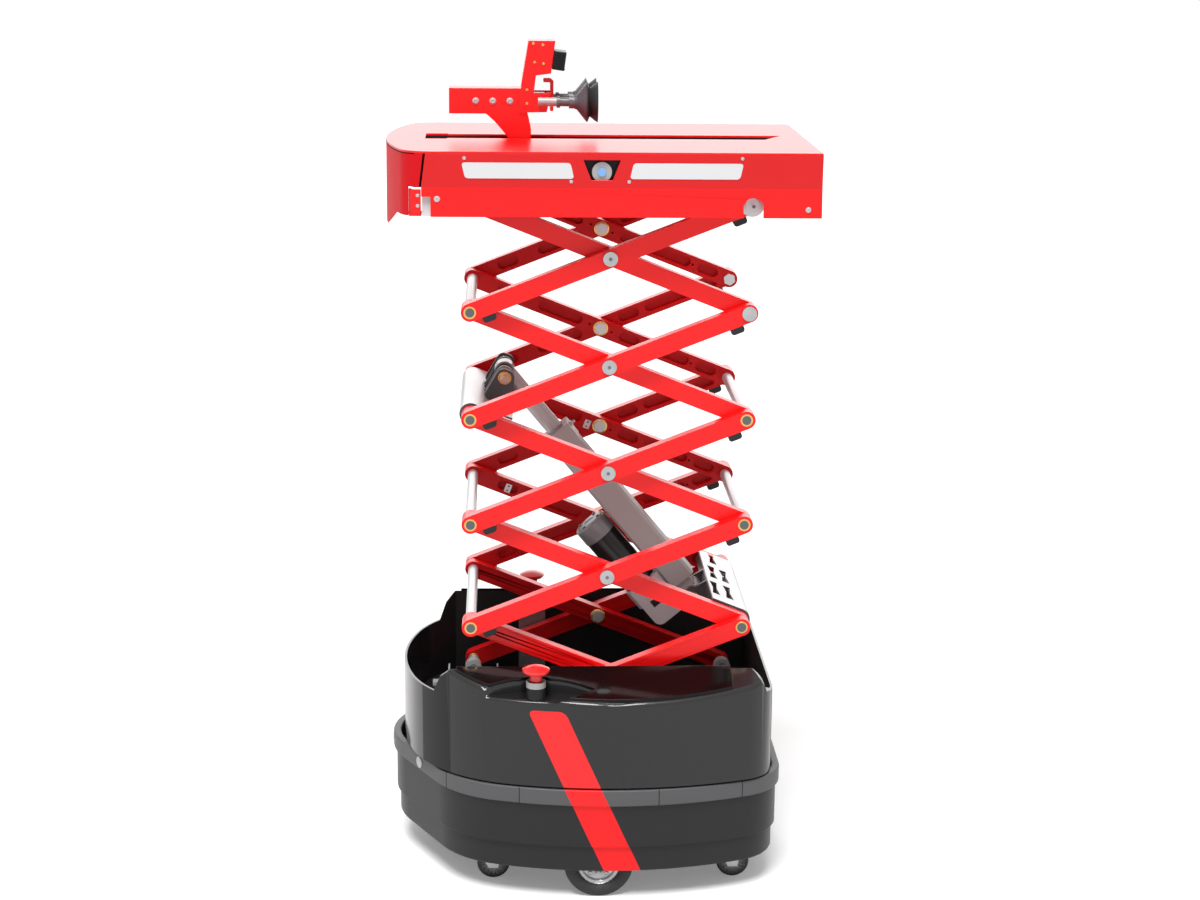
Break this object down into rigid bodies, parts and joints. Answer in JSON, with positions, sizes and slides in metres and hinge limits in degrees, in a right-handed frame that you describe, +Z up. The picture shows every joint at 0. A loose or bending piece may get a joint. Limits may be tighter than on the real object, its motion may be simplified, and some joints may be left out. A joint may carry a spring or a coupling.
{
  "type": "autonomous mobile robot with scissor lift",
  "caption": "Wheeled warehouse robot: dark shell base, red scissor lift driven by an electric actuator, and a slotted deck with a sliding suction gripper.",
  "frame": {"origin": "on the floor, under the middle of the whole machine's bounding box at rest", "axes": "+Z up; +X from the rounded nose towards the straight tail, the way the gripper reaches; +Y towards the far side"},
  "size_m": [0.619, 0.553, 1.237],
  "materials": {
    "red_powder_coat": "satin powder coat",
    "shell_plastic": "glossy moulded shell",
    "cover_plastic": "smoked gloss",
    "bumper_plastic": "satin grey",
    "skirt_plastic": "fine matte",
    "frame_steel": "black coat",
    "zinc_steel": "bright zinc",
    "brass_bush": "machined",
    "grey_aluminium": "anodised",
    "motor_black": "black",
    "stop_red": "gloss",
    "collar_grey": "satin",
    "cup_rubber": "matte",
    "tyre_rubber": "matte",
    "camera_black": "matte"
  },
  "bodies": {
    "base": {"frame_plates": "frame_steel", "lower_skirt": "skirt_plastic", "bumper": "bumper_plastic", "upper_shell": "shell_plastic", "pod_covers": "cover_plastic", "stop_collars": "collar_grey", "lift_mounts": "zinc_steel", "drive_motors": "motor_black", "battery_pack": "camera_black", "sensor_post": "grey_aluminium"},
    "deck": {"deck_plate": "red_powder_coat", "deck_skirts": "red_powder_coat", "nose_wrap": "red_powder_coat", "side_cameras": "camera_black", "deck_brackets": "frame_steel"},
    "gripper_carriage": {"carriage_channel": "red_powder_coat", "camera_mast": "red_powder_coat", "head_camera": "camera_black", "suction_pipes": "grey_aluminium", "suction_cups": "cup_rubber"},
    "lower_slider": {"lower_slider": "zinc_steel"},
    "upper_rollers": {"upper_rollers": "zinc_steel"},
    "actuator_cylinder": {"actuator_tube": "grey_aluminium", "actuator_gearbox": "grey_aluminium", "actuator_motor": "motor_black"},
    "actuator_rod": {"actuator_rod": "grey_aluminium"},
    "inner_arms_stage_1": {"inner_arms_1": "red_powder_coat", "pivot_shafts_1": "zinc_steel"},
    "outer_arms_stage_1": {"outer_arms_1": "red_powder_coat", "arm_fittings_1": "brass_bush"},
    "inner_arms_stage_2": {"inner_arms_2": "red_powder_coat", "pivot_shafts_2": "zinc_steel", "lower_bracket": "zinc_steel"},
    "outer_arms_stage_2": {"outer_arms_2": "red_powder_coat", "arm_fittings_2": "brass_bush"},
    "inner_arms_stage_3": {"inner_arms_3": "red_powder_coat", "pivot_shafts_3": "zinc_steel", "upper_bracket": "zinc_steel"},
    "outer_arms_stage_3": {"outer_arms_3": "red_powder_coat", "arm_fittings_3": "brass_bush"},
    "inner_arms_stage_4": {"inner_arms_4": "red_powder_coat", "pivot_shafts_4": "zinc_steel"},
    "outer_arms_stage_4": {"outer_arms_4": "red_powder_coat", "arm_fittings_4": "brass_bush"},
    "inner_arms_stage_5": {"inner_arms_5": "red_powder_coat", "pivot_shafts_5": "zinc_steel"},
    "outer_arms_stage_5": {"outer_arms_5": "red_powder_coat", "arm_fittings_5": "brass_bush"},
    "drive_wheel_near": {"drive_wheel_near": "tyre_rubber"},
    "stop_button_near": {"stop_button_near": "stop_red"},
    "caster_fork_front_near": {"caster_fork_front_near": "zinc_steel"},
    "caster_wheel_front_near": {"caster_wheel_front_near": "tyre_rubber"},
    "caster_fork_rear_near": {"caster_fork_rear_near": "zinc_steel"},
    "caster_wheel_rear_near": {"caster_wheel_rear_near": "tyre_rubber"},
    "drive_wheel_far": {"drive_wheel_far": "tyre_rubber"},
    "stop_button_far": {"stop_button_far": "stop_red"},
    "caster_fork_front_far": {"caster_fork_front_far": "zinc_steel"},
    "caster_wheel_front_far": {"caster_wheel_front_far": "tyre_rubber"},
    "caster_fork_rear_far": {"caster_fork_rear_far": "zinc_steel"},
    "caster_wheel_rear_far": {"caster_wheel_rear_far": "tyre_rubber"}
  },
  "joints": [
    {"name": "lift", "type": "hinge", "parent": "base", "child": "inner_arms_stage_1", "pos_m": [0.215, 0, 0.235], "axis": [0, 1, 0], "range_deg": [-15.4, 26.6]},
    {"name": "outer_arms_1_cross", "type": "hinge", "parent": "inner_arms_stage_1", "child": "outer_arms_stage_1", "pos_m": [0.01481, 0, 0.31341], "axis": [0, 1, 0], "range_deg": [-53.25, 30.85]},
    {"name": "lower_slider_pivot", "type": "hinge", "parent": "outer_arms_stage_1", "child": "lower_slider", "pos_m": [-0.18538, 0, 0.235], "axis": [0, 1, 0], "range_deg": [-15.45, 26.65]},
    {"name": "outer_arms_2_foot", "type": "hinge", "parent": "inner_arms_stage_1", "child": "outer_arms_stage_2", "pos_m": [-0.18538, 0, 0.39183], "axis": [0, 1, 0], "range_deg": [-53.25, 30.85]},
    {"name": "inner_arms_2_cross", "type": "hinge", "parent": "outer_arms_stage_2", "child": "inner_arms_stage_2", "pos_m": [0.01481, 0, 0.47024], "axis": [0, 1, 0], "range_deg": [-30.85, 53.25]},
    {"name": "outer_arms_3_foot", "type": "hinge", "parent": "inner_arms_stage_2", "child": "outer_arms_stage_3", "pos_m": [-0.18538, 0, 0.54865], "axis": [0, 1, 0], "range_deg": [-53.25, 30.85]},
    {"name": "inner_arms_3_cross", "type": "hinge", "parent": "outer_arms_stage_3", "child": "inner_arms_stage_3", "pos_m": [0.01481, 0, 0.62707], "axis": [0, 1, 0], "range_deg": [-30.85, 53.25]},
    {"name": "outer_arms_4_foot", "type": "hinge", "parent": "inner_arms_stage_3", "child": "outer_arms_stage_4", "pos_m": [-0.18538, 0, 0.70548], "axis": [0, 1, 0], "range_deg": [-53.25, 30.85]},
    {"name": "inner_arms_4_cross", "type": "hinge", "parent": "outer_arms_stage_4", "child": "inner_arms_stage_4", "pos_m": [0.01481, 0, 0.7839], "axis": [0, 1, 0], "range_deg": [-30.85, 53.25]},
    {"name": "outer_arms_5_foot", "type": "hinge", "parent": "inner_arms_stage_4", "child": "outer_arms_stage_5", "pos_m": [-0.18538, 0, 0.86231], "axis": [0, 1, 0], "range_deg": [-53.25, 30.85]},
    {"name": "inner_arms_5_cross", "type": "hinge", "parent": "outer_arms_stage_5", "child": "inner_arms_stage_5", "pos_m": [0.01481, 0, 0.94072], "axis": [0, 1, 0], "range_deg": [-30.85, 53.25]},
    {"name": "deck_hinge", "type": "hinge", "parent": "outer_arms_stage_5", "child": "deck", "pos_m": [0.215, 0, 1.01914], "axis": [0, 1, 0], "range_deg": [-15.45, 26.65]},
    {"name": "actuator_clevis", "type": "hinge", "parent": "inner_arms_stage_2", "child": "actuator_cylinder", "pos_m": [0.15516, 0, 0.39808], "axis": [0, 1, 0], "range_deg": [-1.13, 1.91]},
    {"name": "actuator_stroke", "type": "slide", "parent": "actuator_cylinder", "child": "actuator_rod", "axis": [-0.6422, 0, 0.7665], "range_m": [-0.10137, 0.17474]},
    {"name": "upper_rollers_spin", "type": "hinge", "parent": "inner_arms_stage_5", "child": "upper_rollers", "pos_m": [-0.18538, 0, 1.01914], "axis": [0, 1, 0], "continuous": true},
    {"name": "gripper_slide", "type": "slide", "parent": "deck", "child": "gripper_carriage", "axis": [1, 0, 0], "range_m": [-0.08, 0.34]},
    {"name": "drive_wheel_near_spin", "type": "hinge", "parent": "base", "child": "drive_wheel_near", "pos_m": [0.0035, -0.239, 0.051], "axis": [0, 1, 0], "continuous": true},
    {"name": "drive_wheel_far_spin", "type": "hinge", "parent": "base", "child": "drive_wheel_far", "pos_m": [0.0035, 0.239, 0.051], "axis": [0, 1, 0], "continuous": true},
    {"name": "caster_front_near_swivel", "type": "hinge", "parent": "base", "child": "caster_fork_front_near", "pos_m": [-0.164, -0.172, 0.06], "axis": [0, 0, 1], "continuous": true},
    {"name": "caster_front_near_roll", "type": "hinge", "parent": "caster_fork_front_near", "child": "caster_wheel_front_near", "pos_m": [-0.152, -0.172, 0.0245], "axis": [0, 1, 0], "continuous": true},
    {"name": "caster_front_far_swivel", "type": "hinge", "parent": "base", "child": "caster_fork_front_far", "pos_m": [-0.164, 0.172, 0.06], "axis": [0, 0, 1], "continuous": true},
    {"name": "caster_front_far_roll", "type": "hinge", "parent": "caster_fork_front_far", "child": "caster_wheel_front_far", "pos_m": [-0.152, 0.172, 0.0245], "axis": [0, 1, 0], "continuous": true},
    {"name": "caster_rear_near_swivel", "type": "hinge", "parent": "base", "child": "caster_fork_rear_near", "pos_m": [0.197, -0.172, 0.06], "axis": [0, 0, 1], "continuous": true},
    {"name": "caster_rear_near_roll", "type": "hinge", "parent": "caster_fork_rear_near", "child": "caster_wheel_rear_near", "pos_m": [0.209, -0.172, 0.0245], "axis": [0, 1, 0], "continuous": true},
    {"name": "caster_rear_far_swivel", "type": "hinge", "parent": "base", "child": "caster_fork_rear_far", "pos_m": [0.197, 0.172, 0.06], "axis": [0, 0, 1], "continuous": true},
    {"name": "caster_rear_far_roll", "type": "hinge", "parent": "caster_fork_rear_far", "child": "caster_wheel_rear_far", "pos_m": [0.209, 0.172, 0.0245], "axis": [0, 1, 0], "continuous": true},
    {"name": "stop_button_near_press", "type": "slide", "parent": "base", "child": "stop_button_near", "axis": [0, 0, -1], "range_m": [0, 0.005], "stiffness_N_per_m": 1000, "springref_m": -0.003},
    {"name": "stop_button_far_press", "type": "slide", "parent": "base", "child": "stop_button_far", "axis": [0, 0, -1], "range_m": [0, 0.005], "stiffness_N_per_m": 1000, "springref_m": -0.003}
  ],
  "couplings": [
    {"joint": "outer_arms_1_cross", "follows": "lift", "ratio": -2},
    {"joint": "lower_slider_pivot", "follows": "lift", "ratio": 1},
    {"joint": "outer_arms_2_foot", "follows": "lift", "ratio": -2},
    {"joint": "inner_arms_2_cross", "follows": "lift", "ratio": 2},
    {"joint": "outer_arms_3_foot", "follows": "lift", "ratio": -2},
    {"joint": "inner_arms_3_cross", "follows": "lift", "ratio": 2},
    {"joint": "outer_arms_4_foot", "follows": "lift", "ratio": -2},
    {"joint": "inner_arms_4_cross", "follows": "lift", "ratio": 2},
    {"joint": "outer_arms_5_foot", "follows": "lift", "ratio": -2},
    {"joint": "inner_arms_5_cross", "follows": "lift", "ratio": 2},
    {"joint": "deck_hinge", "follows": "lift", "ratio": 1},
    {"joint": "actuator_clevis", "follows": "lift", "ratio": 0.07},
    {"joint": "actuator_stroke", "follows": "lift", "m_per_rad": 0.3753}
  ]
}
